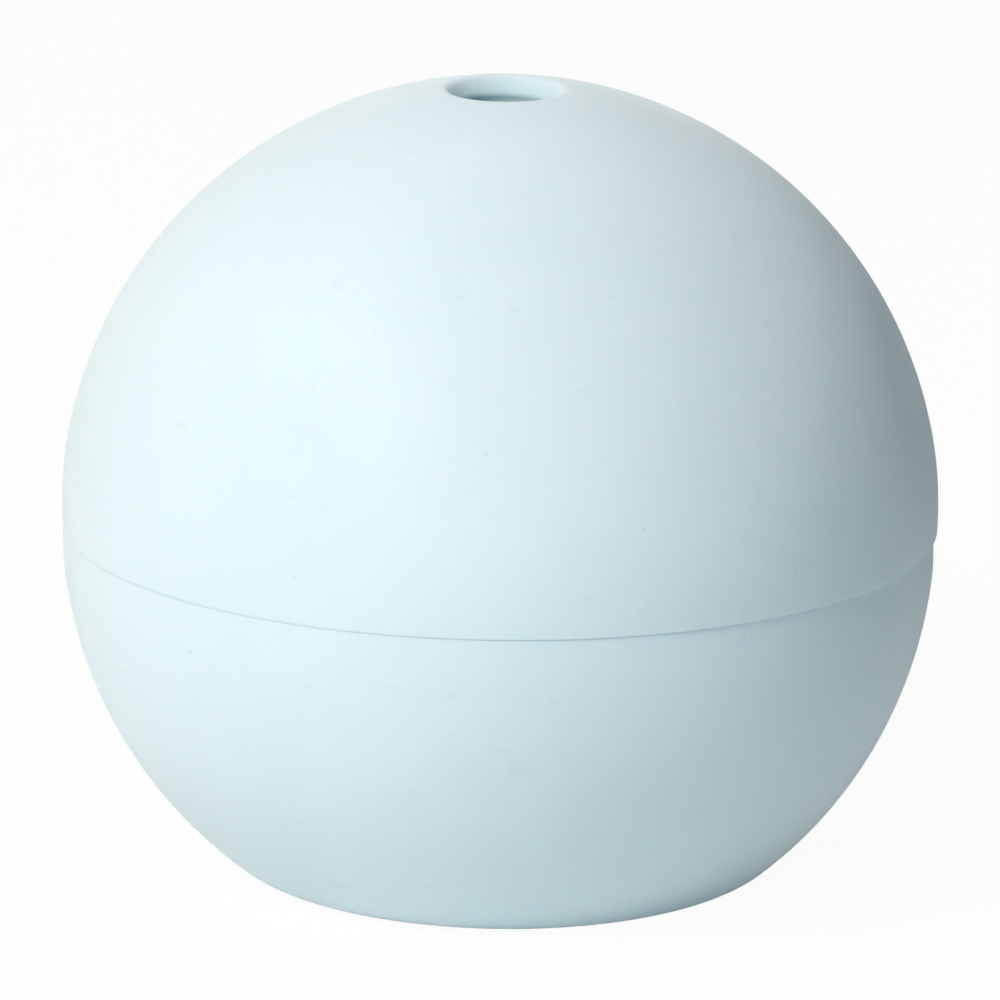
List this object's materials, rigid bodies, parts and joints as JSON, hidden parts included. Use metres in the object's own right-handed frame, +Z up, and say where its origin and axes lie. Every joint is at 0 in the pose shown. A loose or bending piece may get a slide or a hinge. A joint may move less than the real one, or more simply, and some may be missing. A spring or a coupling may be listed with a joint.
{
  "type": "ice ball mold",
  "caption": "Soft ball-shaped mold that casts a ball of ice: a flat-based lower cup and a lift-off upper dome with a fill hole, sealed along the rim by a tongue and groove.",
  "frame": {"origin": "middle of the flat base, on the surface that the mold stands on", "axes": "+Z up along the mold's axis, from the base to the fill hole; the mold is round, so +X and +Y are free"},
  "size_m": [0.076, 0.076, 0.0683],
  "materials": {
    "silicone": "matte pale blue silicone"
  },
  "bodies": {
    "lower_half": {"lower_half": "silicone"},
    "upper_half": {"upper_half": "silicone"}
  },
  "joints": [
    {"name": "upper_half_lift", "type": "slide", "parent": "lower_half", "child": "upper_half", "axis": [0, 0, 1], "range_m": [0, 0.06]}
  ]
}
